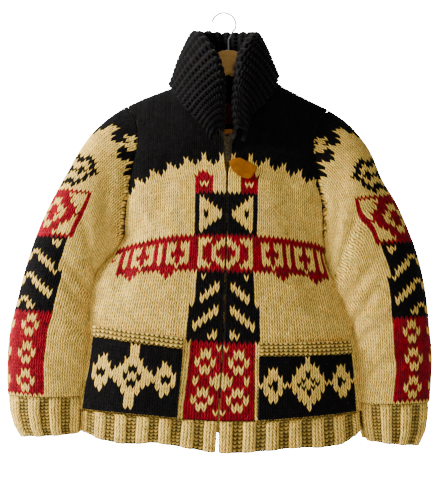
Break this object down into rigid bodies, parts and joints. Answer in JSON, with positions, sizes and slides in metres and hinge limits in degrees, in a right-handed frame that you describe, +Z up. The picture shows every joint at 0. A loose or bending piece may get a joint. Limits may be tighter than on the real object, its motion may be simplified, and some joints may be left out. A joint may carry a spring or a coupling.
{
  "type": "cowichan sweater on a wooden hanger",
  "caption": "Bulky hand-knitted zip-front sweater with a folded collar, two patch pockets and ribbed hem and cuffs, hanging on a wooden hanger.",
  "frame": {"origin": "inside top of the hanger's hook, where a rail or peg holds it", "axes": "+Z up, the front of the sweater faces -Y, +X is on the right of a front view"},
  "size_m": [0.7954, 0.1729, 0.8228],
  "materials": {
    "cream_wool": "bulky cream wool, knitted, fuzzy and matt",
    "dark_wool": "bulky near-black heathered wool, knitted",
    "zip_tape": "woven zip tape",
    "brass": "aged brass",
    "leather": "tan leather, smooth with worn edges",
    "beech": "satin varnished light wood",
    "steel": "polished plated wire",
    "label": "plain dark red-brown woven label, blank"
  },
  "bodies": {
    "sweater": {"front_left": "cream_wool", "front_right": "cream_wool", "back": "cream_wool", "hem_rib_front_left": "cream_wool", "hem_rib_front_right": "cream_wool", "hem_rib_back": "cream_wool", "sleeve_left": "cream_wool", "sleeve_right": "cream_wool", "cuff_left": "cream_wool", "cuff_right": "cream_wool", "collar": "dark_wool", "pocket_left": "dark_wool", "pocket_right": "dark_wool", "pocket_band_left": "cream_wool", "pocket_band_right": "cream_wool", "zip_tape_left": "zip_tape", "zip_tape_right": "zip_tape", "zip_tape_end": "leather", "zip_chain": "brass", "zip_slider": "brass", "zip_bail": "brass", "hanger_wood": "beech", "hanger_hook": "steel", "neck_label": "label"},
    "pull": {"zip_pull": "brass", "zip_leather_tab": "leather"}
  },
  "joints": [
    {"name": "zip_pull_swing", "type": "hinge", "parent": "sweater", "child": "pull", "pos_m": [0.0067, -0.068, -0.249], "axis": [-1, 0, 0], "range_deg": [0, 120]}
  ]
}
